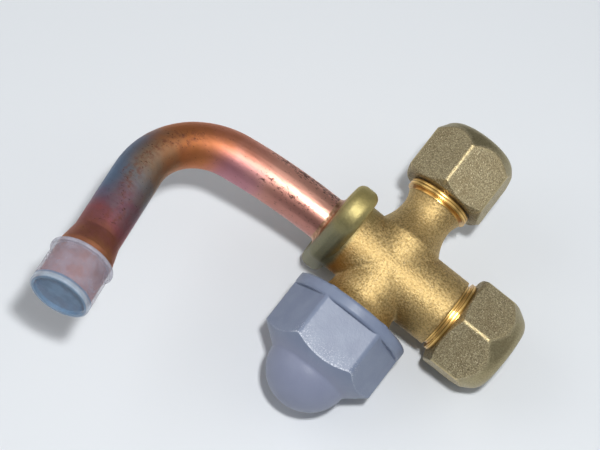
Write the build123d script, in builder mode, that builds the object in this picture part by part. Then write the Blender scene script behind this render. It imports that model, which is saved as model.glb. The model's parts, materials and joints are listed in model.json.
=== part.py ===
from build123d import *
from math import cos, radians, sin, sqrt, tan
import os

os.makedirs("parts", exist_ok=True)

# Three-way refrigerant service valve, in millimetres.
# The valve is drawn in its own frame first: +X runs along the main axis to the stem cap, +Y along
# the cross axis to the service port, -Y to the flare connection, and the copper tube leaves at -X.
# The last section lays the finished valve on a table, with +Z up and the table at Z = 0.

# forged body
barrel_radius = 7.5
barrel_end = 14.3  # where the forged skin stops and the machined stem end begins
flange_face = 14.6  # crossing of the axes to the tube side of the flange
flange_thickness = 4.8
flange_hub_radius = 7.6
flange_rounding = 1.7
ear_radius = 5.5
ear_hole_radius = 2.75
hole_chamfer = 0.2
bolt_pitch = 26.0
ear_lean = 7.5  # degrees that the line of ears leans from Z towards +Y

# machined stem end
groove_radius = 6.9
groove_width = 0.8
collar_radius = 7.75
collar_width = 1.0
stem_thread_radius = 7.0
stem_end = 24.6
lead_chamfer = 0.5

# service port
port_root_radius = 7.4
port_root_height = 6.6
port_throat_radius = 5.65
port_throat_height = 10.2
port_neck_radius = 5.4
port_neck_waist = 13.2
port_shoulder = 15.2
port_shoulder_radius = 6.1
port_groove_radius = 5.3
port_groove_width = 0.6
port_collar_radius = 6.75
port_collar_width = 1.4
port_thread_radius = 5.55
port_thread_end = 26.6
port_nose_radius = 3.9

# flare connection
flare_root_radius = 7.45
flare_root_height = 6.4
flare_waist_radius = 7.2
flare_waist = 8.6
flare_shoulder = 11.0
flare_shoulder_radius = 8.4
flare_thread_radius = 7.94
flare_thread_end = 20.8
flare_nose_radius = 5.2
flare_bore = 3.2

# passages, seat and stem bore
tube_socket_depth = 7.4
seat_radius = 3.2
seat_chamfer = 0.9
chamber_radius = 4.7
chamber_half = 5.2
stem_guide_radius = 4.5
seal_bore_start = 12.0
seal_bore_radius = 5.0
ring_groove_radius = 5.7
ring_groove_width = 1.0
ring_groove_inset = 0.9  # metal left between the ring groove and the mouth of the bore
core_passage_radius = 1.9
core_seat_height = 16.2
core_bore_radius = 2.5
core_thread_start = 21.7
core_thread_radius = 2.75
port_mouth_radius = 3.4
port_mouth_depth = 2.4

# copper tube
tube_radius = 4.76
tube_wall = 1.0
bend_tilt = 21.0  # degrees that the plane of the bend is turned about the main axis
straight_end = 16.4
bow_length = 20.4
bow_angle = 9.9
bend_radius = 15.1
bend_angle = 86.8
bend_flattening = 0.6
leg_to_bell = 16.4
bell_taper = 4.1
bell_length = 8.9
bell_wall = 0.79
braze_leg = 1.0

# dust cap
dust_cap_wall = 0.5
dust_cap_length = 9.2
dust_cap_end_wall = 0.8
dust_cap_recess = 0.8
dust_cap_rim_width = 0.9
dust_cap_bead = 0.45

# stem
stem_nose_radius = 2.5
stem_head_radius = 4.05
stem_head_length = 1.2
stem_neck_radius = 3.4
stem_land_length = 5.2
stem_tail_radius = 4.0
stem_tail_length = 3.6
hex_key = 5.0
hex_key_depth = 5.0
o_ring_width = 1.5
o_ring_depth = 1.1
o_ring_inset = 0.8  # end of the land to the nearer O-ring groove
retaining_ring_thickness = 0.9
retaining_ring_inner = 4.3
retaining_ring_outer = 5.6
retaining_ring_opening = 50.0

# stem cap
stem_cap_flats = 19.0
stem_cap_length = 12.35
stem_cap_corner_round = 1.0
stem_cap_base_chamfer = 0.95
stem_cap_shoulder = 6.75  # base of the cap to the start of its end cone
stem_cap_cone_angle = 30.0
stem_cap_end_round = 1.5
stem_cap_end_radius = 6.8
stem_cap_turn = 5.5  # degrees that a corner of the hexagon is turned from the top
stem_cap_pocket_radius = 4.6
stem_cap_pocket_depth = 1.5
stem_cap_seal_thickness = 0.9

# service cap
port_cap_flats = 17.0
port_cap_length = 13.9
port_cap_corner_round = 0.9
port_cap_base_chamfer = 1.5
port_cap_shoulder = 9.8
port_cap_cone_angle = 33.0
port_cap_end_round = 1.3
port_cap_end_radius = 6.3
port_cap_turn = -11.6
port_cap_seal_thickness = 1.0
port_cap_pocket_radius = 5.3
port_cap_pocket_depth = 1.4

# flare cap
flare_cap_disc_radius = 12.6
flare_cap_disc_thickness = 2.6
flare_cap_disc_rounding = 0.7
flare_cap_flats = 22.0
flare_cap_corner_round = 1.2
flare_cap_shoulder = 11.3  # base of the cap to the start of its cone at the hexagon's corners
flare_cap_cone_angle = 51.0
flare_cap_dome_centre = 14.0
flare_cap_dome_radius = 8.5
flare_cap_dome_fillet = 1.0
flare_cap_wall = 1.6
flare_cap_turn = 1.5
flare_cap_seal_radius = 7.7
flare_cap_seal_thickness = 1.2

# valve core
core_barrel_radius = 2.1
core_barrel_bore = 1.5
core_lip_length = 0.6
core_lip_bore = 1.0
core_seal_length = 1.6
core_plug_length = 3.9
core_plug_bore = 1.1
pin_radius = 0.7
pin_tip = 27.3
pin_cup_radius = 1.4
pin_cup_thickness = 0.5
pin_seal_radius = 1.6
pin_seal_thickness = 0.8
pin_collar_radius = 1.4
pin_collar_thickness = 0.4
spring_wire = 0.3
spring_radius = 1.15
spring_turns = 4.0

# fits
thread_clearance = 0.08  # radial gap of each plain cylinder that stands for a thread
land_clearance = 0.06
ring_clearance = 0.02
seat_clearance = 0.05
braze_clearance = 0.04
bell_clearance = 0.05
dust_cap_clearance = 0.01
cap_mouth_gap = 0.1
flare_cap_mouth_gap = 0.2

# derived positions along the main axis
socket_end = tube_socket_depth - flange_face
collar_start = barrel_end + groove_width
collar_end = collar_start + collar_width
ring_groove_end = stem_end - ring_groove_inset
ring_groove_start = ring_groove_end - ring_groove_width

# derived positions along the cross axis
port_collar_start = port_shoulder + port_groove_width
port_collar_end = port_collar_start + port_collar_width
port_tip = port_thread_end + port_thread_radius - port_nose_radius
core_cone_end = core_seat_height + core_bore_radius - core_passage_radius
flare_tip = flare_thread_end + flare_thread_radius - flare_nose_radius

# derived positions of the ears
ear_y = bolt_pitch / 2 * sin(radians(ear_lean))
ear_z = bolt_pitch / 2 * cos(radians(ear_lean))


# Valve body: one brass forging, with an oval mounting flange and two branches, then bored,
# grooved and threaded. Each thread is a plain cylinder at its crest.
with BuildPart() as valve_body:
    with BuildSketch(Plane.YZ.offset(-flange_face)):
        with BuildLine():
            CenterArc((0, 0), flange_hub_radius, 90, 360)
            CenterArc((ear_y, ear_z), ear_radius, -90, 360)
            CenterArc((-ear_y, -ear_z), ear_radius, 90, 360)
        make_hull()
    extrude(amount=flange_thickness)
    fillet(valve_body.faces().filter_by(Axis.X).edges(), flange_rounding)
    # barrel, with the groove, collar and thread of the stem end
    with BuildSketch(Plane.XZ):
        with BuildLine():
            Polyline(
                (-flange_face + flange_thickness / 2, 0),
                (-flange_face + flange_thickness / 2, barrel_radius),
                (barrel_end, barrel_radius),
                (barrel_end, groove_radius),
                (collar_start, groove_radius),
                (collar_start, collar_radius),
                (collar_end, collar_radius),
                (collar_end, stem_thread_radius),
                (stem_end - lead_chamfer, stem_thread_radius),
                (stem_end, stem_thread_radius - lead_chamfer),
                (stem_end, 0),
                close=True,
            )
        make_face()
    revolve(axis=Axis.X)
    # waisted neck, grooved collar and thread of the service port
    with BuildSketch(Plane.XY):
        with BuildLine():
            neck = Spline(
                (port_root_radius, port_root_height),
                (port_throat_radius, port_throat_height),
                (port_neck_radius, port_neck_waist),
                (port_shoulder_radius, port_shoulder),
            )
            Polyline(
                neck @ 1,
                (port_groove_radius, port_shoulder),
                (port_groove_radius, port_collar_start),
                (port_collar_radius, port_collar_start),
                (port_collar_radius, port_collar_end),
                (port_thread_radius, port_collar_end),
                (port_thread_radius, port_thread_end),
                (port_nose_radius, port_tip),
                (0, port_tip),
                (0, 0),
                (port_root_radius, 0),
                neck @ 0,
            )
        make_face()
    revolve(axis=Axis.Y)
    # boss, flared shoulder, thread and nose of the flare connection
    with BuildSketch(Plane.XY):
        with BuildLine():
            boss = Spline(
                (flare_root_radius, -flare_root_height),
                (flare_waist_radius, -flare_waist),
                (flare_shoulder_radius, -flare_shoulder),
            )
            Polyline(
                boss @ 1,
                (flare_thread_radius, -flare_shoulder),
                (flare_thread_radius, -flare_thread_end),
                (flare_nose_radius, -flare_tip),
                (0, -flare_tip),
                (0, 0),
                (flare_root_radius, 0),
                boss @ 0,
            )
        make_face()
    revolve(axis=Axis.Y)
    # main bore: tube socket, seat, chamber, stem thread, seal bore and ring groove
    with BuildSketch(Plane.XZ):
        with BuildLine():
            Polyline(
                (-flange_face, 0),
                (-flange_face, tube_radius + braze_clearance),
                (socket_end, tube_radius + braze_clearance),
                (socket_end, seat_radius),
                (-chamber_half - seat_chamfer, seat_radius),
                (-chamber_half, seat_radius + seat_chamfer),
                (-chamber_half, chamber_radius),
                (chamber_half, chamber_radius),
                (chamber_half, stem_guide_radius),
                (seal_bore_start, stem_guide_radius),
                (seal_bore_start, seal_bore_radius),
                (ring_groove_start, seal_bore_radius),
                (ring_groove_start, ring_groove_radius),
                (ring_groove_end, ring_groove_radius),
                (ring_groove_end, seal_bore_radius),
                (stem_end, seal_bore_radius),
                (stem_end, 0),
                close=True,
            )
        make_face()
    revolve(axis=Axis.X, mode=Mode.SUBTRACT)
    # cross bore: flare bore, service passage, core seat and core thread
    with BuildSketch(Plane.XY):
        with BuildLine():
            Polyline(
                (0, -flare_tip),
                (flare_bore, -flare_tip),
                (flare_bore, 0),
                (core_passage_radius, 0),
                (core_passage_radius, core_seat_height),
                (core_bore_radius, core_cone_end),
                (core_bore_radius, core_thread_start),
                (core_thread_radius, core_thread_start),
                (core_thread_radius, port_tip - port_mouth_depth),
                (port_mouth_radius, port_tip - port_mouth_depth),
                (port_mouth_radius, port_tip),
                (0, port_tip),
                close=True,
            )
        make_face()
    revolve(axis=Axis.Y, mode=Mode.SUBTRACT)
    # bolt holes through the ears
    with BuildSketch(Plane.YZ.offset(-flange_face)):
        with Locations((ear_y, ear_z), (-ear_y, -ear_z)):
            Circle(ear_hole_radius)
    extrude(amount=flange_thickness, mode=Mode.SUBTRACT)
    hole_rims = valve_body.edges().filter_by(GeomType.CIRCLE).filter_by(Plane.YZ)
    hole_rims = hole_rims.filter_by(lambda edge: abs(edge.radius - ear_hole_radius) < 0.001)
    chamfer(hole_rims, hole_chamfer)

# Copper tube: straight out of the flange, a slow bow, then a bend pressed slightly oval in a plane
# turned about the main axis. The free end is belled to take the next tube.
tube_bore = tube_radius - tube_wall
bell_bore = tube_radius + bell_clearance
bell_radius = bell_bore + bell_wall
bell_start = leg_to_bell + bell_taper
bell_end = bell_start + bell_length
tube_plane = Plane(
    origin=(0, 0, 0),
    x_dir=(-1, 0, 0),
    z_dir=(0, sin(radians(bend_tilt)), cos(radians(bend_tilt))),
)
with BuildLine(tube_plane) as run_in:
    straight = Line((-socket_end, 0), (straight_end, 0))
    bow = JernArc(straight @ 1, straight % 1, bow_length / radians(bow_angle), bow_angle)
with BuildLine(tube_plane) as turn:
    bend = JernArc(bow @ 1, bow % 1, bend_radius, bend_angle)
tube_start = Plane(origin=straight @ 0, x_dir=tube_plane.z_dir, z_dir=straight % 0)
bend_start = Plane(origin=bend @ 0, x_dir=tube_plane.z_dir, z_dir=bend % 0)
bend_middle = Plane(origin=bend @ 0.5, x_dir=tube_plane.z_dir, z_dir=bend % 0.5)
leg = Plane(origin=bend @ 1, x_dir=tube_plane.z_dir, z_dir=bend % 1)

with BuildPart() as copper_tube:
    with BuildSketch(tube_start):
        Circle(tube_radius)
    sweep(path=run_in.wires()[0])
    with BuildSketch(bend_start):
        Circle(tube_radius)
    with BuildSketch(bend_middle):
        Ellipse(tube_radius, tube_radius - bend_flattening / 2)
    with BuildSketch(leg):
        Circle(tube_radius)
    sweep(path=turn.wires()[0], multisection=True)
    with BuildSketch(leg):
        Circle(tube_radius)
    extrude(amount=leg_to_bell)
    with BuildSketch(leg.offset(leg_to_bell)):
        Circle(tube_radius)
    with BuildSketch(leg.offset(bell_start)):
        Circle(bell_radius)
    loft()
    with BuildSketch(leg.offset(bell_start)):
        Circle(bell_radius)
    extrude(amount=bell_length)
    # bore of the tube and of the bell
    with BuildSketch(tube_start):
        Circle(tube_bore)
    sweep(path=run_in.wires()[0], mode=Mode.SUBTRACT)
    with BuildSketch(bend_start):
        Circle(tube_bore)
    with BuildSketch(bend_middle):
        Ellipse(tube_bore, tube_bore - bend_flattening / 2)
    with BuildSketch(leg):
        Circle(tube_bore)
    sweep(path=turn.wires()[0], multisection=True, mode=Mode.SUBTRACT)
    with BuildSketch(leg):
        Circle(tube_bore)
    extrude(amount=leg_to_bell, mode=Mode.SUBTRACT)
    with BuildSketch(leg.offset(leg_to_bell)):
        Circle(tube_bore)
    with BuildSketch(leg.offset(bell_start)):
        Circle(bell_bore)
    loft(mode=Mode.SUBTRACT)
    with BuildSketch(leg.offset(bell_start)):
        Circle(bell_bore)
    extrude(amount=bell_length, mode=Mode.SUBTRACT)

# Braze ring: the fillet of filler metal where the tube enters the flange.
with BuildPart() as braze_ring:
    with BuildSketch(Plane.XZ):
        with BuildLine():
            Line((-flange_face, tube_radius), (-flange_face, tube_radius + braze_leg))
            RadiusArc(
                (-flange_face, tube_radius + braze_leg),
                (-flange_face - braze_leg, tube_radius),
                braze_leg,
            )
            Line((-flange_face - braze_leg, tube_radius), (-flange_face, tube_radius))
        make_face()
    revolve(axis=Axis.X)

# Dust cap: a thin moulded cap pushed over the bell, with a bead round its mouth and a rim
# standing round its sunk end.
dust_cap_bore = bell_radius + dust_cap_clearance
dust_cap_radius = dust_cap_bore + dust_cap_wall
dust_cap_end = bell_end + dust_cap_end_wall + dust_cap_recess
dust_cap_mouth = dust_cap_end - dust_cap_length
with BuildPart() as dust_cap:
    with BuildSketch(leg.offset(dust_cap_mouth)):
        Circle(dust_cap_radius)
    extrude(amount=dust_cap_length)
    with BuildSketch(leg.offset(dust_cap_mouth)):
        Circle(dust_cap_radius + dust_cap_bead)
    extrude(amount=2 * dust_cap_bead)
    bead_edges = dust_cap.edges().filter_by(GeomType.CIRCLE).filter_by(
        lambda edge: edge.radius > dust_cap_radius + dust_cap_bead / 2
    )
    fillet(bead_edges, 0.8 * dust_cap_bead)
    end_edge = dust_cap.edges().filter_by(GeomType.CIRCLE).sort_by(
        lambda edge: leg.to_local_coords(edge.center()).Z
    )[-1]
    fillet(end_edge, dust_cap_wall / 2)
    with BuildSketch(leg.offset(dust_cap_mouth)):
        Circle(dust_cap_bore)
    extrude(amount=bell_end - dust_cap_mouth, mode=Mode.SUBTRACT)
    with BuildSketch(leg.offset(dust_cap_end)):
        Circle(dust_cap_radius - dust_cap_rim_width)
    extrude(amount=-dust_cap_recess, mode=Mode.SUBTRACT)

# Stem: the shut-off spindle, screwed home, with its conical nose at the seat, two O-ring grooves
# in its land and a hexagon socket in its tail.
stem_thread_start = chamber_half + seat_clearance
land_start = seal_bore_start + seat_clearance
land_end = land_start + stem_land_length
tail_end = land_end + stem_tail_length
stem_land_radius = seal_bore_radius - land_clearance
groove_floor = seal_bore_radius - 2 * ring_clearance - o_ring_depth
o_ring_middle = groove_floor + ring_clearance + o_ring_depth / 2
inner_ring_start = land_start + o_ring_inset
outer_ring_start = land_end - o_ring_inset - o_ring_width
seat_line = -chamber_half - seat_chamfer - seat_radius + seat_clearance * sqrt(2)
with BuildPart() as stem:
    with BuildSketch(Plane.XZ):
        with BuildLine():
            Polyline(
                (seat_line + stem_nose_radius, 0),
                (seat_line + stem_nose_radius, stem_nose_radius),
                (seat_line + stem_head_radius, stem_head_radius),
                (seat_line + stem_head_radius + stem_head_length, stem_head_radius),
                (seat_line + stem_head_radius + stem_head_length, stem_neck_radius),
                (stem_thread_start, stem_neck_radius),
                (stem_thread_start, stem_guide_radius - thread_clearance),
                (land_start, stem_guide_radius - thread_clearance),
                (land_start, stem_land_radius),
                (inner_ring_start, stem_land_radius),
                (inner_ring_start, groove_floor),
                (inner_ring_start + o_ring_width, groove_floor),
                (inner_ring_start + o_ring_width, stem_land_radius),
                (outer_ring_start, stem_land_radius),
                (outer_ring_start, groove_floor),
                (outer_ring_start + o_ring_width, groove_floor),
                (outer_ring_start + o_ring_width, stem_land_radius),
                (land_end, stem_land_radius),
                (land_end, stem_tail_radius),
                (tail_end, stem_tail_radius),
                (tail_end, 0),
                close=True,
            )
        make_face()
    revolve(axis=Axis.X)
    with BuildSketch(Plane.YZ.offset(tail_end)):
        RegularPolygon(hex_key / 2, 6, major_radius=False)
    extrude(amount=-hex_key_depth, mode=Mode.SUBTRACT)

# O-rings: pressed to an oval section between the grooves of the stem and the seal bore.
with BuildPart() as stem_o_ring_inner:
    with BuildSketch(Plane.XZ):
        with Locations((inner_ring_start + o_ring_width / 2, o_ring_middle)):
            Ellipse(o_ring_width / 2 - ring_clearance, o_ring_depth / 2)
    revolve(axis=Axis.X)
with BuildPart() as stem_o_ring_outer:
    with BuildSketch(Plane.XZ):
        with Locations((outer_ring_start + o_ring_width / 2, o_ring_middle)):
            Ellipse(o_ring_width / 2 - ring_clearance, o_ring_depth / 2)
    revolve(axis=Axis.X)

# Retaining ring: an open spring ring in the groove at the mouth of the seal bore, which stops the
# stem from being screwed right out.
ring_middle = (ring_groove_start + ring_groove_end) / 2
with BuildPart() as stem_retaining_ring:
    with BuildSketch(Plane.YZ.offset(ring_middle - retaining_ring_thickness / 2)):
        Circle(retaining_ring_outer)
        Circle(retaining_ring_inner, mode=Mode.SUBTRACT)
        with BuildLine():
            reach = 2 * retaining_ring_outer
            rise = reach * tan(radians(retaining_ring_opening / 2))
            Polyline((0, 0), (reach, rise), (reach, -rise), close=True)
        make_face(mode=Mode.SUBTRACT)
    extrude(amount=retaining_ring_thickness)

# Stem cap: a hexagon brass cap screwed over the stem end, coned at its mouth and at its end.
stem_cap_start = collar_end + cap_mouth_gap
stem_cap_end = stem_cap_start + stem_cap_length
stem_cap_corner = stem_cap_flats / sqrt(3)
stem_cap_cone_start = stem_cap_start + stem_cap_shoulder
stem_cap_cone_end = stem_cap_end - stem_cap_end_round
stem_cap_cone_rise = tan(radians(stem_cap_cone_angle))
stem_cap_cone_radius = stem_cap_corner - stem_cap_cone_rise * (stem_cap_cone_end - stem_cap_cone_start)
stem_seal_end = stem_end + stem_cap_seal_thickness
with BuildPart() as stem_cap:
    with BuildSketch(Plane.YZ.offset(stem_cap_start)) as stem_cap_hexagon:
        RegularPolygon(stem_cap_flats / 2, 6, major_radius=False, rotation=90 + stem_cap_turn)
        fillet(stem_cap_hexagon.vertices(), stem_cap_corner_round)
    extrude(amount=stem_cap_length)
    with BuildSketch(Plane.XZ):
        with BuildLine():
            Polyline(
                (stem_cap_end, stem_cap_end_radius),
                (stem_cap_end, 0),
                (stem_cap_start, 0),
                (stem_cap_start, stem_cap_flats / 2 - 0.2),
                (stem_cap_start + stem_cap_base_chamfer, stem_cap_corner),
                (stem_cap_cone_start, stem_cap_corner),
                (stem_cap_cone_end, stem_cap_cone_radius),
            )
            TangentArc(
                (stem_cap_cone_end, stem_cap_cone_radius),
                (stem_cap_end, stem_cap_end_radius),
                tangent=(1, -stem_cap_cone_rise),
            )
        make_face()
    revolve(axis=Axis.X, mode=Mode.INTERSECT)
    with BuildSketch(Plane.YZ.offset(stem_cap_start)):
        Circle(stem_thread_radius + thread_clearance)
    extrude(amount=stem_seal_end - stem_cap_start, mode=Mode.SUBTRACT)
    with BuildSketch(Plane.YZ.offset(stem_seal_end)):
        Circle(stem_cap_pocket_radius)
    extrude(amount=stem_cap_pocket_depth, mode=Mode.SUBTRACT)

with BuildPart() as stem_cap_seal:
    with BuildSketch(Plane.YZ.offset(stem_end)):
        Circle(stem_thread_radius)
        Circle(seal_bore_radius, mode=Mode.SUBTRACT)
    extrude(amount=stem_cap_seal_thickness)

# Service cap: a smaller hexagon cap of the same make on the service port.
port_cap_start = port_collar_end + 3 * cap_mouth_gap
port_cap_end = port_cap_start + port_cap_length
port_cap_corner = port_cap_flats / sqrt(3)
port_cap_cone_start = port_cap_start + port_cap_shoulder
port_cap_cone_end = port_cap_end - port_cap_end_round
port_cap_cone_rise = tan(radians(port_cap_cone_angle))
port_cap_cone_radius = port_cap_corner - port_cap_cone_rise * (port_cap_cone_end - port_cap_cone_start)
port_seal_end = port_tip + port_cap_seal_thickness
port_plane = Plane(origin=(0, 0, 0), x_dir=(1, 0, 0), z_dir=(0, 1, 0))
with BuildPart() as service_cap:
    with BuildSketch(port_plane.offset(port_cap_start)) as port_cap_hexagon:
        RegularPolygon(port_cap_flats / 2, 6, major_radius=False, rotation=90 + port_cap_turn)
        fillet(port_cap_hexagon.vertices(), port_cap_corner_round)
    extrude(amount=port_cap_length)
    with BuildSketch(Plane.XY):
        with BuildLine():
            Polyline(
                (port_cap_end_radius, port_cap_end),
                (0, port_cap_end),
                (0, port_cap_start),
                (port_cap_flats / 2 - 0.2, port_cap_start),
                (port_cap_corner, port_cap_start + port_cap_base_chamfer),
                (port_cap_corner, port_cap_cone_start),
                (port_cap_cone_radius, port_cap_cone_end),
            )
            TangentArc(
                (port_cap_cone_radius, port_cap_cone_end),
                (port_cap_end_radius, port_cap_end),
                tangent=(-port_cap_cone_rise, 1),
            )
        make_face()
    revolve(axis=Axis.Y, mode=Mode.INTERSECT)
    with BuildSketch(port_plane.offset(port_cap_start)):
        Circle(port_thread_radius + thread_clearance)
    extrude(amount=port_seal_end - port_cap_start, mode=Mode.SUBTRACT)
    with BuildSketch(port_plane.offset(port_seal_end)):
        Circle(port_cap_pocket_radius)
    extrude(amount=port_cap_pocket_depth, mode=Mode.SUBTRACT)

with BuildPart() as service_cap_seal:
    with BuildSketch(port_plane.offset(port_tip)):
        Circle(port_thread_radius)
    extrude(amount=port_cap_seal_thickness)

# Valve core: a threaded plug over a barrel with a tapered seal, and a spring pin whose seal
# closes the lower end of the barrel.
barrel_start = core_seat_height + core_barrel_radius - core_passage_radius + seat_clearance
with BuildPart() as core_barrel:
    with BuildSketch(port_plane.offset(barrel_start)):
        Circle(core_barrel_radius)
        Circle(core_lip_bore, mode=Mode.SUBTRACT)
    extrude(amount=core_lip_length)
    with BuildSketch(port_plane.offset(barrel_start + core_lip_length)):
        Circle(core_barrel_radius)
        Circle(core_barrel_bore, mode=Mode.SUBTRACT)
    extrude(amount=core_thread_start - barrel_start - core_lip_length)

with BuildPart() as core_barrel_seal:
    with BuildSketch(Plane.XY):
        with BuildLine():
            Polyline(
                (core_barrel_radius, barrel_start),
                (core_bore_radius, core_cone_end + seat_clearance),
                (core_bore_radius, core_cone_end + core_seal_length),
                (core_barrel_radius, core_cone_end + core_seal_length),
                close=True,
            )
        make_face()
    revolve(axis=Axis.Y)

with BuildPart() as core_plug:
    with BuildSketch(port_plane.offset(core_thread_start)):
        Circle(core_thread_radius - thread_clearance)
        Circle(core_plug_bore, mode=Mode.SUBTRACT)
    extrude(amount=core_plug_length)

pin_seal_start = barrel_start - pin_seal_thickness
pin_collar_end = core_thread_start - seat_clearance
pin_collar_start = pin_collar_end - pin_collar_thickness
with BuildPart() as core_pin:
    with BuildSketch(port_plane.offset(pin_seal_start - pin_cup_thickness)):
        Circle(pin_cup_radius)
    extrude(amount=pin_cup_thickness)
    with BuildSketch(port_plane.offset(pin_seal_start)):
        Circle(pin_radius)
    extrude(amount=pin_tip - pin_seal_start)
    with BuildSketch(port_plane.offset(pin_collar_start)):
        Circle(pin_collar_radius)
    extrude(amount=pin_collar_thickness)

with BuildPart() as core_pin_seal:
    with BuildSketch(port_plane.offset(pin_seal_start)):
        Circle(pin_seal_radius)
        Circle(pin_radius, mode=Mode.SUBTRACT)
    extrude(amount=pin_seal_thickness)

spring_start = barrel_start + core_lip_length + spring_wire / 2
spring_length = pin_collar_start - spring_wire / 2 - spring_start
with BuildPart() as core_spring:
    with BuildLine():
        coil = Helix(
            pitch=spring_length / spring_turns,
            height=spring_length,
            radius=spring_radius,
            center=(0, spring_start, 0),
            direction=(0, 1, 0),
        )
    with BuildSketch(Plane(origin=coil @ 0, z_dir=coil % 0)):
        RegularPolygon(spring_wire / 2, 6)
    sweep(is_frenet=True)

# Flare cap: a moulded cap with a round flange, a hexagon and a domed end, screwed over the
# flare thread.
flare_plane = Plane(origin=(0, 0, 0), x_dir=(1, 0, 0), z_dir=(0, -1, 0))
flare_cap_start = flare_shoulder + flare_cap_mouth_gap
flare_cap_corner = flare_cap_flats / sqrt(3)
flare_cone_start = flare_cap_start + flare_cap_shoulder
flare_dome_centre = flare_cap_start + flare_cap_dome_centre
flare_cone_run = 1 / tan(radians(flare_cap_cone_angle))
flare_cone_end = flare_cone_start + flare_cone_run * (flare_cap_corner - flare_cap_dome_radius)
flare_dome_rise = flare_cone_end - flare_dome_centre
flare_dome_tip = flare_dome_centre + flare_cap_dome_radius
flare_root_reach = sqrt(flare_cap_dome_radius**2 - flare_dome_rise**2)
flare_seal_end = flare_tip + flare_cap_seal_thickness
with BuildPart() as flare_cap:
    with BuildSketch(flare_plane.offset(flare_cap_start)) as flare_hexagon:
        RegularPolygon(flare_cap_flats / 2, 6, major_radius=False, rotation=flare_cap_turn)
        fillet(flare_hexagon.vertices(), flare_cap_corner_round)
    extrude(amount=flare_dome_tip - flare_cap_start)
    with BuildSketch(Plane.XY) as cone_and_dome:
        with BuildLine():
            Polyline(
                (0, -flare_dome_tip),
                (0, -flare_cap_start),
                (flare_cap_corner, -flare_cap_start),
                (flare_cap_corner, -flare_cone_start),
                (flare_root_reach, -flare_cone_end),
            )
            RadiusArc(
                (flare_root_reach, -flare_cone_end), (0, -flare_dome_tip), flare_cap_dome_radius
            )
        make_face()
        dome_root = cone_and_dome.vertices().sort_by_distance((flare_root_reach, -flare_cone_end))[0]
        fillet(dome_root, flare_cap_dome_fillet)
    revolve(axis=Axis.Y, mode=Mode.INTERSECT)
    with BuildSketch(Plane.XY) as disc_profile:
        with Locations((0, -flare_cap_start)):
            Rectangle(
                flare_cap_disc_radius,
                flare_cap_disc_thickness,
                align=(Align.MIN, Align.MAX),
            )
        fillet(disc_profile.vertices().group_by(Axis.X)[-1], flare_cap_disc_rounding)
    revolve(axis=Axis.Y)
    with Locations((0, -flare_dome_centre, 0)):
        Sphere(flare_cap_dome_radius - flare_cap_wall, mode=Mode.SUBTRACT)
    with BuildSketch(flare_plane.offset(flare_cap_start)):
        Circle(flare_thread_radius + thread_clearance)
    extrude(amount=flare_seal_end - flare_cap_start, mode=Mode.SUBTRACT)

with BuildPart() as flare_cap_seal:
    with BuildSketch(flare_plane.offset(flare_tip)):
        Circle(flare_cap_seal_radius)
    extrude(amount=flare_cap_seal_thickness)

# Resting position: the valve leans on the nose of its lower ear, on the lowest corner of the stem
# cap and on the lowest corner of the flare cap's hexagon. The table's upward direction is found
# by repeated steps from +Z, each taking the lowest point of those three roundings.
def corner_centre(flats, rounding, angle):
    """Centre of a hexagon's rounded corner, as two coordinates across its axis."""
    reach = (flats / 2 - rounding) * 2 / sqrt(3)
    return reach * cos(radians(angle)), reach * sin(radians(angle))


stem_y, stem_z = corner_centre(stem_cap_flats, stem_cap_corner_round, stem_cap_turn - 90)
flare_x, flare_z = corner_centre(flare_cap_flats, flare_cap_corner_round, flare_cap_turn - 60)
ear_centre = Vector(-flange_face + flange_thickness - flange_rounding, -ear_y, -ear_z)
corner_loss = 2 / sqrt(3) - 1  # what a rounding takes off a hexagon's corner, per unit of its radius
stem_lag = corner_loss * stem_cap_corner_round / stem_cap_cone_rise
flare_lag = corner_loss * flare_cap_corner_round * flare_cone_run
stem_centre = Vector(stem_cap_cone_start + stem_lag, stem_y, stem_z)
flare_centre = Vector(flare_x, -flare_cone_start - flare_lag, flare_z)
up = Vector(0, 0, 1)
for _ in range(30):
    ear_foot = ear_centre - up * flange_rounding
    ear_foot -= Vector(0, up.Y, up.Z).normalized() * (ear_radius - flange_rounding)
    stem_foot = stem_centre - Vector(0, up.Y, up.Z).normalized() * stem_cap_corner_round
    flare_foot = flare_centre - Vector(up.X, 0, up.Z).normalized() * flare_cap_corner_round
    up = (flare_foot - ear_foot).cross(stem_foot - ear_foot).normalized()
table = Plane(origin=flare_foot, x_dir=Vector(1, 0, 0) - up * up.X, z_dir=up)

pieces = {
    "valve_body": valve_body,
    "copper_tube": copper_tube,
    "braze_ring": braze_ring,
    "dust_cap": dust_cap,
    "stem": stem,
    "stem_o_ring_inner": stem_o_ring_inner,
    "stem_o_ring_outer": stem_o_ring_outer,
    "stem_retaining_ring": stem_retaining_ring,
    "stem_cap": stem_cap,
    "stem_cap_seal": stem_cap_seal,
    "service_cap": service_cap,
    "service_cap_seal": service_cap_seal,
    "core_barrel": core_barrel,
    "core_barrel_seal": core_barrel_seal,
    "core_plug": core_plug,
    "core_pin": core_pin,
    "core_pin_seal": core_pin_seal,
    "core_spring": core_spring,
    "flare_cap": flare_cap,
    "flare_cap_seal": flare_cap_seal,
}

# The origin is the middle of the valve's footprint, on the table.
for piece in pieces.values():
    piece.part.move(Location(table).inverse())
boxes = [piece.part.bounding_box() for piece in pieces.values()]
middle_x = (min(box.min.X for box in boxes) + max(box.max.X for box in boxes)) / 2
middle_y = (min(box.min.Y for box in boxes) + max(box.max.Y for box in boxes)) / 2
lowest = min(box.min.Z for box in boxes)
for name, piece in pieces.items():
    piece.part.move(Location((-middle_x, -middle_y, -lowest)))
    piece.part.label = name
    export_step(piece.part, f"parts/{name}.step")
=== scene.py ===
import json
import math

import bmesh
import bpy
from mathutils import Matrix, Vector


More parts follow.
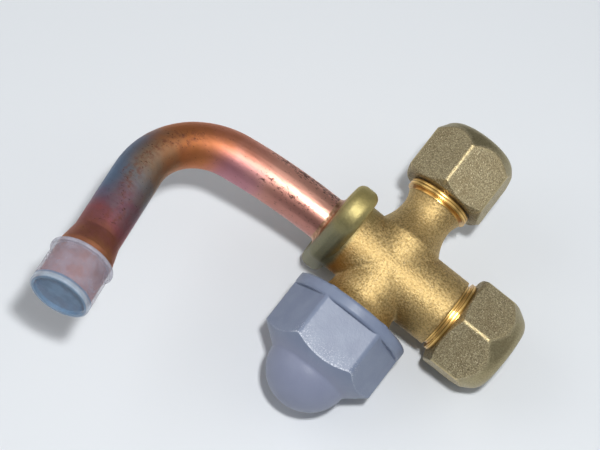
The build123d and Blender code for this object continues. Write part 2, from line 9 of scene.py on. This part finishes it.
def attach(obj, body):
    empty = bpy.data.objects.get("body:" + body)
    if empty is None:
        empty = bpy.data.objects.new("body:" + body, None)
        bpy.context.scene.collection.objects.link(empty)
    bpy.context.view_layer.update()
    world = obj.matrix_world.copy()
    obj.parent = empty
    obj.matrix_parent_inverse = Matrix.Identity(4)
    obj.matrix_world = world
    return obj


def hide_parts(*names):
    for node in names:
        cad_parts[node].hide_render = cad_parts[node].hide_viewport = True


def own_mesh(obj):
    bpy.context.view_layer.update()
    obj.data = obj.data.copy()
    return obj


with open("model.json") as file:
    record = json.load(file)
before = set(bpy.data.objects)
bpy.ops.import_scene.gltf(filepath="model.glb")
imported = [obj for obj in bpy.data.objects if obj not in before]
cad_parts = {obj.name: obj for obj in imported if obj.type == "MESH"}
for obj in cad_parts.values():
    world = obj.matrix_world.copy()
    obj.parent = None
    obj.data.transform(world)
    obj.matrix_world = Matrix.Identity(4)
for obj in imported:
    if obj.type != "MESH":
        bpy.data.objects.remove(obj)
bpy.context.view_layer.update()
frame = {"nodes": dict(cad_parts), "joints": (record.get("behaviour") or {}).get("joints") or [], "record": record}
nodes = frame["nodes"]

# ---- valve body ---------------------------------------------------------------------------------
# One hot-forged brass body with an oval two-hole flange, a stem end and two branches. Its skin is
# grainy from blasting, with pale specks painted as glints, its grooved ends are turned bright, and
# brazing has stained its flange. Painted shade darkens the flange plate towards its lower ear.
mm_per_metre = 1000


class Field:
    """A socket of a finish, used in ordinary arithmetic: each operator adds a Math node."""

    def __init__(self, finish, socket):
        self.finish = finish
        self.socket = socket

    def __add__(self, other):
        return self.finish.maths("ADD", self, other)

    def __radd__(self, other):
        return self.finish.maths("ADD", other, self)

    def __sub__(self, other):
        return self.finish.maths("SUBTRACT", self, other)

    def __rsub__(self, other):
        return self.finish.maths("SUBTRACT", other, self)

    def __mul__(self, other):
        return self.finish.maths("MULTIPLY", self, other)

    def __rmul__(self, other):
        return self.finish.maths("MULTIPLY", other, self)

    def __pow__(self, other):
        return self.finish.maths("POWER", self, other)

    def __neg__(self):
        return self.finish.maths("MULTIPLY", self, -1.0)

    def __abs__(self):
        return self.finish.maths("ABSOLUTE", self)

    def below(self, limit):
        """The field, held at or below a limit."""
        return self.finish.maths("MINIMUM", self, limit)

    def above(self, limit):
        """The field, held at or above a limit."""
        return self.finish.maths("MAXIMUM", self, limit)

    def ramp(self, low, high):
        """0 below low and 1 above high, with a smooth step between; the other way if low > high."""
        step = {"interpolation_type": "SMOOTHSTEP"}
        values = {"Value": self, "From Min": low, "From Max": high, "To Min": 0.0, "To Max": 1.0}
        if low > high:
            values.update({"From Min": high, "From Max": low, "To Min": 1.0, "To Max": 0.0})
        return self.finish.node("ShaderNodeMapRange", step, values, "Result")

    def band(self, low, high, edge):
        """1 between low and high, with a soft edge at both."""
        return self.ramp(low - edge, low + edge) * self.ramp(high + edge, high - edge)

    def wave(self, pitch):
        """A wave from -1 to 1 that repeats at each pitch."""
        return self.finish.maths("SINE", self * (2 * math.pi / pitch))


class Finish:
    """One material, whose fields are laid out in the valve's own axes, in millimetres."""

    def __init__(self, name, **shader):
        self.material = bpy.data.materials.new(name)
        self.material.use_nodes = True
        self.tree = self.material.node_tree
        self.shader = self.tree.nodes["Principled BSDF"]
        for socket, value in shader.items():
            self.shader.inputs[socket.replace("_", " ")].default_value = value

    def node(self, kind, settings=None, inputs=None, output=0):
        """Adds a node: its settings first, then the values or fields on its inputs."""
        made = self.tree.nodes.new(kind)
        for name, value in (settings or {}).items():
            if name == "stops":
                ramp = made.color_ramp
                ramp.interpolation = "EASE"
                while len(ramp.elements) < len(value):
                    ramp.elements.new(1.0)
                for element, (place, colour) in zip(ramp.elements, value):
                    element.position = place
                    element.color = (*colour, 1.0)
            else:
                setattr(made, name, value)
        for name, value in (inputs or {}).items():
            if isinstance(value, Field):
                self.tree.links.new(value.socket, made.inputs[name])
            else:
                made.inputs[name].default_value = value
        return Field(self, made.outputs[output])

    def maths(self, operation, *values):
        """A Math node on fields and numbers."""
        return self.node("ShaderNodeMath", {"operation": operation}, dict(enumerate(values)))

    def axes(self, origin, turn):
        """Position in millimetres along three axes, as a point and its three parts."""
        place = self.node("ShaderNodeTexCoord", output="Object")
        rows = turn.transposed()
        values = {
            "Vector": place,
            "Location": rows @ origin * -mm_per_metre,
            "Rotation": rows.to_euler(),
            "Scale": (mm_per_metre, mm_per_metre, mm_per_metre),
        }
        point = self.node("ShaderNodeMapping", inputs=values)
        parts = self.node("ShaderNodeSeparateXYZ", inputs={0: point}).socket.node.outputs
        return point, *(Field(self, part) for part in parts)

    def noise(self, point, scale, detail, roughness, stretch=None):
        """Cloudy noise from 0 to 1; scale is how many lumps lie in a millimetre."""
        if stretch:
            point = self.node("ShaderNodeMapping", inputs={"Vector": point, "Scale": stretch})
        values = {"Vector": point, "Scale": scale, "Detail": detail, "Roughness": roughness}
        return self.node("ShaderNodeTexNoise", inputs=values, output="Fac")

    def mix(self, share, first, second):
        """A colour between two, by share. The Mix node's colour inputs are its 6 and 7."""
        first, second = ((*tone, 1.0) if isinstance(tone, tuple) else tone for tone in (first, second))
        return self.node("ShaderNodeMix", {"data_type": "RGBA"}, {0: share, 6: first, 7: second}, 2)

    def either(self, share, first, second):
        """A normal between two, by share. The Mix node's vector inputs are its 4 and 5."""
        return self.node("ShaderNodeMix", {"data_type": "VECTOR"}, {0: share, 4: first, 5: second}, 1)

    def bands(self, share, stops):
        """A colour that runs through a list of stops, each a share and its colour."""
        return self.node("ShaderNodeValToRGB", {"stops": stops}, {"Fac": share}, "Color")

    def bump(self, height, depth, normal=None):
        """A normal raised by height, of which 1 stands for depth in millimetres."""
        values = {"Height": height, "Distance": depth / mm_per_metre, "Strength": 1.0}
        if normal:
            values["Normal"] = normal
        return self.node("ShaderNodeBump", inputs=values, output="Normal")

    def rounded(self, radius):
        """A normal that shows each sharp edge with a small round, of a radius in millimetres."""
        inputs = {"Radius": radius / mm_per_metre}
        return self.node("ShaderNodeBevel", {"samples": 8}, inputs, "Normal")

    def feed(self, **fields):
        """Links fields to the shader's sockets."""
        for name, value in fields.items():
            self.tree.links.new(value.socket, self.shader.inputs[name.replace("_", " ")])

    def cover(self, *names):
        """Puts this finish on the nodes named."""
        for name in names:
            nodes[name].data.materials.clear()
            nodes[name].data.materials.append(self.material)


joints = {joint["name"]: joint for joint in frame["joints"]}
stem_axis = Vector(joints["stem_travel"]["axis"])
port_axis = Vector(joints["service_cap_travel"]["axis"])
up_axis = stem_axis.cross(port_axis)
valve_turn = Matrix((stem_axis, port_axis, up_axis)).transposed()
on_stem_axis = Vector(joints["stem_turn"]["pos_m"])
on_port_axis = Vector(joints["service_cap_turn"]["pos_m"])
crossing = on_stem_axis + stem_axis * (on_port_axis - on_stem_axis).dot(stem_axis)

turned_stem_end = 14.15
turned_port_end = 15.1
turned_flare_end = -10.9
groove_pitch = 0.62
plate_face = 9.6
plate_root_start = 6.5
grain_hollows = (0.35, 0.24, 0.095)
grain_tops = (0.69, 0.505, 0.225)
brown_tarnish = (0.46, 0.31, 0.12)
painted_glint_brass = (0.90, 0.79, 0.53)
flame_orange = (0.50, 0.23, 0.04)
flux_olive = (0.42, 0.37, 0.16)
plate_painted_shade = (0.17, 0.19, 0.125)
plate_lit_yellow = (0.50, 0.43, 0.17)
groove_brown = (0.40, 0.22, 0.055)
turned_yellow = (0.86, 0.56, 0.19)

forging = Finish("brass_forging", Metallic=1.0)
point, x, y, _ = forging.axes(crossing, valve_turn)
grain = forging.noise(point, 2.4, 3.0, 0.6)
sparkle = forging.noise(point, 6.0, 2.0, 0.6)
clouds = forging.noise(point, 0.16, 3.0, 0.55)
stem_end = x.ramp(turned_stem_end, turned_stem_end + 0.15)
port_end = y.ramp(turned_port_end, turned_port_end + 0.1)
flare_end = y.ramp(turned_flare_end, turned_flare_end - 0.1)
turned = (stem_end + port_end + flare_end).below(1.0)
lathe = (x * stem_end + y * port_end + y * flare_end).wave(groove_pitch)
plate = (clouds * 2 - x).ramp(plate_face, plate_face + 1.6)
plate_root = (clouds * 3 - x).ramp(plate_root_start, plate_root_start + 4.5) * (1 - plate)
skin = forging.mix(grain.ramp(0.34, 0.66), grain_hollows, grain_tops)
skin = forging.mix(clouds.ramp(0.35, 0.7) * 0.35, skin, brown_tarnish)
# Pale specks painted as glints of the blasted grain.
skin = forging.mix(sparkle.ramp(0.58, 0.70) * 0.5, skin, painted_glint_brass)
skin = forging.mix(plate_root * y.ramp(-1.0, -6.0) * 0.75, skin, flame_orange)
skin = forging.mix(plate_root * y.ramp(1.0, 6.0) * 0.5, skin, flux_olive)
# Painted shade: the plate is darker and greener towards its lower ear, at negative y, and lit yellow above.
plate_shading = forging.mix((y + clouds * 6).ramp(-3.0, 7.0), plate_painted_shade, plate_lit_yellow)
skin = forging.mix(plate * 0.8, skin, plate_shading)
bright = forging.mix(lathe.ramp(-0.9, 0.2), groove_brown, turned_yellow)
skin_relief = (grain + sparkle * 0.35) * (1 - turned) * (1 - plate * 0.4)
crisp = (turned + plate).below(1.0)
edges = forging.either(crisp, forging.rounded(1.4), forging.rounded(0.15))
forging.feed(
    Base_Color=forging.mix(turned, skin, bright),
    Roughness=(0.46 + grain * 0.16) * (1 - turned) + turned * 0.32,
    Normal=forging.bump(skin_relief + lathe * turned * 0.1, depth=0.10, normal=edges),
)
forging.cover("valve_body")

# ---- copper tube --------------------------------------------------------------------------------
# Drawn copper tube, bent and belled before it was brazed into the flange. The flame has left it
# pink near the flange and brown, slate and purple past the bend, with dark streaks of scale. The
# blue along its outer side and the violet along its inner side are partly heat tint and partly
# painted reflection, and painted shade darkens its inner side near the flange to a dull red.
leg_axis = Vector(joints["dust_cap_pull"]["axis"])
mounts = {mount["name"]: mount for mount in frame["record"]["mounts"]}
bell_mouth = Vector(mounts["tube_socket"]["pos_m"])
leg_length = 29.4
bend_radius = 15.1
bend_turn = math.radians(86.8)
bow_start = 16.4
bow_end = 36.7
bow_radius = 118
bend_down = stem_axis.cross(leg_axis).normalized()
bend_outward = bend_down.cross(leg_axis)
bend_middle = bell_mouth - (leg_axis * leg_length + bend_outward * bend_radius) / mm_per_metre
bend_axes = Matrix((bend_outward, leg_axis, -bend_down)).transposed()
bow_axes = Matrix((-stem_axis, stem_axis.cross(bend_down), bend_down)).transposed()
blue_tint_and_reflection = (0.11, 0.20, 0.33)
violet_tint_and_reflection = (0.42, 0.20, 0.31)
painted_shade_red = (0.42, 0.17, 0.15)
smoke_brown = (0.26, 0.10, 0.065)
scale_black = (0.07, 0.04, 0.035)
heat_span = 80
heat_bands = [
    (0.00, (0.62, 0.27, 0.19)),
    (0.10, (0.46, 0.20, 0.09)),
    (0.15, (0.32, 0.12, 0.08)),
    (0.20, (0.36, 0.12, 0.125)),
    (0.25, (0.27, 0.13, 0.165)),
    (0.31, (0.24, 0.24, 0.26)),
    (0.37, (0.33, 0.24, 0.17)),
    (0.44, (0.42, 0.22, 0.115)),
    (0.52, (0.52, 0.19, 0.07)),
    (0.62, (0.58, 0.21, 0.10)),
    (0.68, (0.66, 0.28, 0.20)),
    (0.76, (0.76, 0.39, 0.30)),
]

copper = Finish("copper", Metallic=1.0)
_, outward, down_leg, upward = copper.axes(bend_middle, bend_axes)
point, from_body, beside_bow, _ = copper.axes(crossing, bow_axes)
cloud = copper.noise(point, 0.12, 3.0, 0.6)
blotch = copper.noise(point, 0.42, 4.0, 0.65)
grit = copper.noise(point, 2.3, 5.0, 0.75, (0.55, 1, 1))
drawn_lines = copper.noise(point, 1.1, 3.0, 0.5, (0.3, 1, 1))
round_bend = copper.maths("ARCTAN2", -down_leg, outward).above(0.0).below(bend_turn)
to_mouth = (leg_length - down_leg).below(leg_length) + round_bend * bend_radius
to_mouth = to_mouth + (bow_end - from_body).above(0.0)
past_leg = down_leg.below(0.0)
beside_bend = (outward * outward + past_leg * past_leg) ** 0.5 - bend_radius
bowed = (from_body - bow_start).above(0.0)
on_bow = from_body.ramp(bow_end + 2, bow_end - 2)
beside = beside_bend * (1 - on_bow) + (beside_bow + bowed * bowed * (0.5 / bow_radius)) * on_bow
heat = to_mouth + (cloud - 0.5) * 11
hotter = heat + 5
colour = copper.bands(heat * (1 / heat_span), heat_bands)
hotter_colour = copper.bands(hotter * (1 / heat_span), heat_bands)
colour = copper.mix(blotch.ramp(0.35, 0.65) * 0.35, colour, hotter_colour)
# Blue along the outer side: partly heat tint, partly painted reflection of a blue surface.
outer_blue_tint_and_reflection = beside.ramp(0.8, 4.2) * heat.band(20, 36, 4)
# Violet along the inner side: partly heat tint, partly painted reflection.
inner_violet_tint_and_reflection = beside.ramp(-1.2, -4.4) * heat.band(48, 60, 4)
# Painted shade: the inner side of the tube near the flange is painted a darker dull red.
inner_painted_shade = beside.ramp(-1.6, -4.0) * to_mouth.ramp(58, 64)
colour = copper.mix(outer_blue_tint_and_reflection * 0.75, colour, blue_tint_and_reflection)
colour = copper.mix(inner_violet_tint_and_reflection * 0.6, colour, violet_tint_and_reflection)
colour = copper.mix(inner_painted_shade * 0.6, colour, painted_shade_red)
blotched_beside = beside + blotch * 2 - 1
outer_streak = blotched_beside.band(1.7, 3.7, 0.8) * heat.band(57, 80, 3)
inner_streak = blotched_beside.band(-3.6, -2.4, 0.6) * heat.band(58, 69, 2)
leg_streak = (beside + cloud * 8 - 4).band(-1.4, 1.0, 1.0) * heat.band(14, 44, 4)
smudge = copper.noise(point, 0.9, 5.0, 0.7).ramp(0.46, 0.64) * leg_streak
colour = copper.mix(smudge * 0.7, colour, smoke_brown)
streaks = (outer_streak + inner_streak * 0.7 + leg_streak * 0.3).below(1.0) * upward.ramp(-1.0, 0.5)
near_flange = heat.ramp(59, 75)
specks = (grit + streaks * 0.15 + near_flange * 0.035).ramp(0.60, 0.70)
copper.feed(
    Base_Color=copper.mix(specks * 0.85, colour, scale_black),
    Roughness=0.46 + blotch * 0.12 - near_flange * 0.17 + specks * 0.2,
    Normal=copper.bump(drawn_lines, depth=0.05),
)
copper.cover("copper_tube", "flare_cap_seal")

# ---- braze ring ---------------------------------------------------------------------------------
# The fillet of filler metal that was drawn round the tube where it enters the flange, smooth where
# it flowed and dull with flux at its edges.
flux_brown = (0.36, 0.18, 0.10)
flowed_filler = (0.66, 0.40, 0.26)

braze = Finish("braze", Metallic=1.0)
point, *_ = braze.axes(crossing, valve_turn)
flow = braze.noise(point, 0.9, 3.0, 0.6)
braze.feed(
    Base_Color=braze.mix(flow.ramp(0.35, 0.65), flux_brown, flowed_filler),
    Roughness=0.25 + flow * 0.3,
    Normal=braze.bump(flow, depth=0.12),
)
braze.cover("braze_ring")

# ---- stem and service caps ----------------------------------------------------------------------
# Two hexagon brass caps, screwed on by hand and spanner. Their faces are blasted to a fine grain,
# with pale specks painted as glints, and handling has rubbed the hexagon's edges bright. A painted
# highlight adds to the rubbed corners and lies along the flats beside the end cone.
cap_hollows = (0.23, 0.185, 0.105)
cap_grain = (0.56, 0.475, 0.29)
cap_tarnish = (0.27, 0.20, 0.10)
cap_painted_glint = (0.90, 0.80, 0.55)
cone_brass = (0.36, 0.31, 0.165)
rubbed_and_highlit_brass = (0.70, 0.57, 0.31)


def cap_brass(name, on_stem, across_flats, corner_angle, mouth, cone_start, cone_angle):
    """Blasted brass for one hexagon cap, on the stem end or on the service port.

    The mouth and the cone at the far end start at places along the cap's own axis, and one corner
    of the hexagon stands at corner_angle round it. The cone lies at cone_angle to that axis.
    """
    cap = Finish(name, Metallic=1.0)
    point, x, y, z = cap.axes(crossing, valve_turn)
    along, across = (x, y) if on_stem else (y, x)
    grain = cap.noise(point, 3.0, 4.0, 0.65)
    sparkle = cap.noise(point, 4.6, 2.0, 0.6)
    clouds = cap.noise(point, 0.22, 2.0, 0.5)
    half_face = math.pi / 6
    corner_radius = across_flats / 3**0.5
    radius = (across * across + z * z) ** 0.5
    angle = cap.maths("ARCTAN2", z, across) - math.radians(corner_angle)
    angle = cap.maths("WRAP", angle, half_face, -half_face)
    from_corner = abs(radius * cap.maths("SINE", angle))
    from_flat = across_flats / 2 - radius * cap.maths("COSINE", half_face - abs(angle))
    cone_reach = radius + (along - cone_start) * math.tan(math.radians(cone_angle))
    near_cone = cone_reach.ramp(corner_radius - 0.5, corner_radius - 0.1)
    on_cone = from_flat.ramp(0.1, 0.5) * along.ramp(cone_start - 0.3, cone_start + 0.3)
    off_cone = 1 - on_cone
    # Corners rubbed bright by wear, with a painted highlight on top; the band beside the cone is painted
    # highlight.
    rubbed_and_highlit = (from_corner + grain * 0.9 - 0.45).ramp(0.42, 0.10) * along.ramp(mouth, mouth + 1)
    rubbed_and_highlit = (rubbed_and_highlit * (sparkle + 0.35) + near_cone * 0.3 * sparkle) * off_cone
    rubbed_and_highlit = rubbed_and_highlit.below(1.0)
    colour = cap.mix(grain.ramp(0.3, 0.7), cap_hollows, cap_grain)
    colour = cap.mix(clouds.ramp(0.4, 0.7) * 0.3, colour, cap_tarnish)
    # Pale specks painted as glints of the blasted grain.
    colour = cap.mix(sparkle.ramp(0.57, 0.66) * 0.75 * off_cone, colour, cap_painted_glint)
    colour = cap.mix(on_cone * 0.5, colour, cone_brass)
    relief = (grain + sparkle * 0.5) * (1 - on_cone * 0.7)
    cap.feed(
        Base_Color=cap.mix(rubbed_and_highlit * 0.85, colour, rubbed_and_highlit_brass),
        Roughness=0.46 + grain * 0.12 - rubbed_and_highlit * 0.16 - on_cone * 0.1,
        Normal=cap.bump(relief, depth=0.12, normal=cap.rounded(0.4)),
    )
    return cap


stem_cap_brass = cap_brass(
    "stem_cap_brass",
    on_stem=True,
    across_flats=19,
    corner_angle=95.5,
    mouth=16.2,
    cone_start=22.95,
    cone_angle=30,
)
stem_cap_brass.cover("stem_cap")
service_cap_brass = cap_brass(
    "service_cap_brass",
    on_stem=False,
    across_flats=17,
    corner_angle=101.6,
    mouth=17.5,
    cone_start=27.3,
    cone_angle=33,
)
service_cap_brass.cover("service_cap")


# ---- stem and valve core ------------------------------------------------------------------------
# Turned brass pieces inside the body: the shut-off stem, and the core with its spring pin. They
# are clean and bright, with the fine rings that the lathe leaves.
def inner_finish(name, metallic, lumps, dark, light, roughness, spread, depth):
    """A clean finish of one tone, whose colour, roughness and relief follow one noise."""
    finish = Finish(name, Metallic=metallic)
    point, *_ = finish.axes(crossing, valve_turn)
    tone = finish.noise(point, *lumps)
    finish.feed(
        Base_Color=finish.mix(tone, dark, light),
        Roughness=roughness + tone * spread,
        Normal=finish.bump(tone, depth),
    )
    return finish


turned_brass = inner_finish(
    "brass_machined",
    metallic=1.0,
    lumps=(1.8, 2.0, 0.5, (4, 0.2, 0.2)),
    dark=(0.62, 0.43, 0.17),
    light=(0.84, 0.64, 0.32),
    roughness=0.18,
    spread=0.14,
    depth=0.02,
)
turned_brass.cover("stem", "core_barrel", "core_plug", "core_pin")

# ---- spring and retaining ring ------------------------------------------------------------------
# Hard-drawn spring steel: the coil under the core's pin, and the open ring that keeps the stem in.
# The coil stands on the barrel's lip.
steel = inner_finish(
    "spring_steel",
    metallic=1.0,
    lumps=(2.2, 3.0, 0.6),
    dark=(0.33, 0.33, 0.34),
    light=(0.62, 0.61, 0.59),
    roughness=0.22,
    spread=0.2,
    depth=0.02,
)
steel.cover("core_spring", "stem_retaining_ring")

coil = bpy.data.objects.new("spring_coil", nodes["core_spring"].data.copy())
bpy.context.scene.collection.objects.link(coil)
wire = bmesh.new()
wire.from_mesh(coil.data)
bmesh.ops.remove_doubles(wire, verts=wire.verts, dist=1e-6)
wire.to_mesh(coil.data)
wire.free()
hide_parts("core_spring")
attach(coil, "valve")
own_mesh(coil)

# ---- seals --------------------------------------------------------------------------------------
# Moulded rubber O-rings and discs, and PTFE washers that the caps and the core press on.
# Rubber is dull and near black, and PTFE is smooth and white.
rubber = inner_finish(
    "rubber",
    metallic=0.0,
    lumps=(1.4, 4.0, 0.6),
    dark=(0.012, 0.012, 0.013),
    light=(0.05, 0.05, 0.052),
    roughness=0.5,
    spread=0.25,
    depth=0.03,
)
rubber.cover("stem_o_ring_inner", "stem_o_ring_outer", "service_cap_seal", "core_pin_seal")
ptfe = inner_finish(
    "ptfe",
    metallic=0.0,
    lumps=(1.2, 4.0, 0.6),
    dark=(0.70, 0.69, 0.66),
    light=(0.86, 0.86, 0.84),
    roughness=0.35,
    spread=0.2,
    depth=0.03,
)
ptfe.cover("stem_cap_seal", "core_barrel_seal")

# ---- flare cap ----------------------------------------------------------------------------------
# A grey-blue moulded cap screwed over the flare thread: round flange, hexagon and domed end. The
# surface is a little wavy from the mould and scuffed paler in streaks, and painted glints lie
# along the hexagon's edges beside the cone, most on its top face.
hexagon_corner = 12.7
hexagon_top = 11.0
flange_end = -14.0
cone_start = -22.5
cone_slope = math.tan(math.radians(51))
dome_start = -23.0
moulded_dark = (0.17, 0.205, 0.30)
moulded_light = (0.195, 0.235, 0.33)
dome_grey = (0.245, 0.26, 0.36)
scuffed_grey = (0.34, 0.37, 0.43)
painted_glint_pale = (0.62, 0.66, 0.74)

grey_cap = Finish("flare_cap_plastic")
point, x, y, z = grey_cap.axes(crossing, valve_turn)
mottle = grey_cap.noise(point, 0.3, 3.0, 0.5)
speckle = grey_cap.noise(point, 3.2, 3.0, 0.6)
scuffs = grey_cap.noise(point, 0.9, 5.0, 0.75, (1, 0.3, 1)).ramp(0.64, 0.74)
painted_glint_noise = grey_cap.noise(point, 4.2, 3.0, 0.7)
cone_reach = (x * x + z * z) ** 0.5 - (y - cone_start) * cone_slope
past_flange = y.ramp(flange_end, flange_end - 0.2)
on_flats = cone_reach.ramp(hexagon_corner - 0.02, hexagon_corner - 0.07) * past_flange
# Painted glints along the hexagon's edges beside the cone, strongest on the top face, which faces the lamps.
cone_edge = on_flats * cone_reach.ramp(hexagon_corner - 0.7, hexagon_corner - 0.1)
beside_edge = on_flats * cone_reach.ramp(hexagon_corner - 5.5, hexagon_corner - 0.5)
lit_top_face = z.ramp(hexagon_top - 2.5, hexagon_top - 0.4)
painted_glints = cone_edge * painted_glint_noise.ramp(0.42, 0.56) * 0.85 + beside_edge * painted_glint_noise.ramp(0.54, 0.64) * 0.6
painted_glints = (painted_glints * (lit_top_face * 0.85 + 0.15)).below(1.0)
colour = grey_cap.mix(mottle.ramp(0.3, 0.7), moulded_dark, moulded_light)
colour = grey_cap.mix(y.ramp(dome_start, dome_start - 3.0) * 0.6, colour, dome_grey)
colour = grey_cap.mix(scuffs * 0.25, colour, scuffed_grey)
grey_cap.feed(
    Base_Color=grey_cap.mix(painted_glints, colour, painted_glint_pale),
    Roughness=0.36 + speckle * 0.12 + scuffs * 0.1,
    Normal=grey_cap.bump(mottle + speckle * 0.35, depth=0.07, normal=grey_cap.rounded(0.35)),
)
grey_cap.cover("flare_cap")

# ---- dust cap -----------------------------------------------------------------------------------
# A thin milky polythene cap pushed over the bell, which keeps dirt out of the tube. The copper
# shows through its wall, and its rims are whiter, where more of the plastic lies one behind another.
bead_start = -6.6
end_face = 0.1
recess_radius = 5.65
haze_dark = (0.40, 0.35, 0.43)
haze_light = (0.52, 0.47, 0.56)
rim_pale = (0.52, 0.61, 0.72)
disc_blue = (0.15, 0.27, 0.42)

milky = Finish("dust_cap_plastic", IOR=1.5)
_, across_cap, along_cap, above_cap = milky.axes(bell_mouth, bend_axes)
point, *_ = milky.axes(crossing, valve_turn)
haze = milky.noise(point, 0.45, 4.0, 0.6)
cap_radius = (across_cap * across_cap + above_cap * above_cap) ** 0.5
mouth_bead = along_cap.ramp(bead_start, bead_start - 0.4)
on_rim = cap_radius.ramp(recess_radius, recess_radius + 0.2)
end_rim = along_cap.ramp(end_face + 0.4, end_face + 0.8) * on_rim
end_disc = along_cap.ramp(end_face, end_face + 0.5) * (1 - end_rim)
colour = milky.mix(haze, haze_dark, haze_light)
colour = milky.mix(mouth_bead * 0.4 + end_rim, colour, rim_pale)
milky.feed(
    Base_Color=milky.mix(end_disc, colour, disc_blue),
    Alpha=0.24 + haze.ramp(0.35, 0.65) * 0.16 + mouth_bead * 0.2 + end_rim * 0.3 + end_disc * 0.4,
    Roughness=0.28 + haze * 0.15,
    Normal=milky.bump(haze, depth=0.05, normal=milky.rounded(0.2)),
)
milky.cover("dust_cap")

# ---- floor, lamps and camera --------------------------------------------------------------------
# A pale tabletop under soft studio lamps. A smaller, harder lamp above and to the left of the
# camera gives the valve its crisp shadow.
bpy.ops.object.select_all(action="DESELECT")
bpy.ops.mesh.primitive_grid_add(x_subdivisions=2, y_subdivisions=2, size=4.0)
floor = bpy.context.object
floor.name = "tabletop"
floor_finish = Finish("tabletop", Base_Color=(0.74, 0.77, 0.80, 1.0), Roughness=0.6)
floor.data.materials.append(floor_finish.material)

camera = bpy.data.cameras.new("camera")
camera.sensor_width = 36
camera.lens = 131.67
camera.clip_start = 0.05
camera_object = bpy.data.objects.new("camera", camera)
bpy.context.scene.collection.objects.link(camera_object)
right = valve_turn @ Vector((0.78411, 0.60818, 0.12364))
down = valve_turn @ Vector((0.62051, -0.77195, -0.13806))
ahead = valve_turn @ Vector((0.01148, 0.18498, -0.98268))
camera_turn = Matrix((right, -down, -ahead)).transposed()
camera_place = crossing + valve_turn @ Vector((-0.023528, -0.083329, 0.420392))
camera_object.matrix_world = Matrix.Translation(camera_place) @ camera_turn.to_4x4()
bpy.context.scene.camera = camera_object

lamp_target = Vector((0, 0, 0.02))


def lamp(name, place, size, power):
    """An area lamp that faces the valve, with its size in metres and its power in watts."""
    light = bpy.data.lights.new(name, "AREA")
    light.size = size
    light.energy = power
    holder = bpy.data.objects.new(name, light)
    bpy.context.scene.collection.objects.link(holder)
    holder.location = place
    facing = lamp_target - holder.location
    holder.rotation_euler = facing.to_track_quat("-Z", "Y").to_euler()


lamp("key", (0.085, -0.070, 0.440), size=0.03, power=1.4)
lamp("soft_left", (-0.45, -0.10, 0.40), size=0.5, power=0.9)
lamp("soft_right", (0.40, 0.25, 0.45), size=0.5, power=0.5)
world = bpy.data.worlds.new("room")
world.use_nodes = True
background = world.node_tree.nodes["Background"]
background.inputs["Color"].default_value = (0.93, 0.96, 1.0, 1.0)
background.inputs["Strength"].default_value = 0.22
bpy.context.scene.world = world
bpy.context.scene.view_settings.view_transform = "Standard"
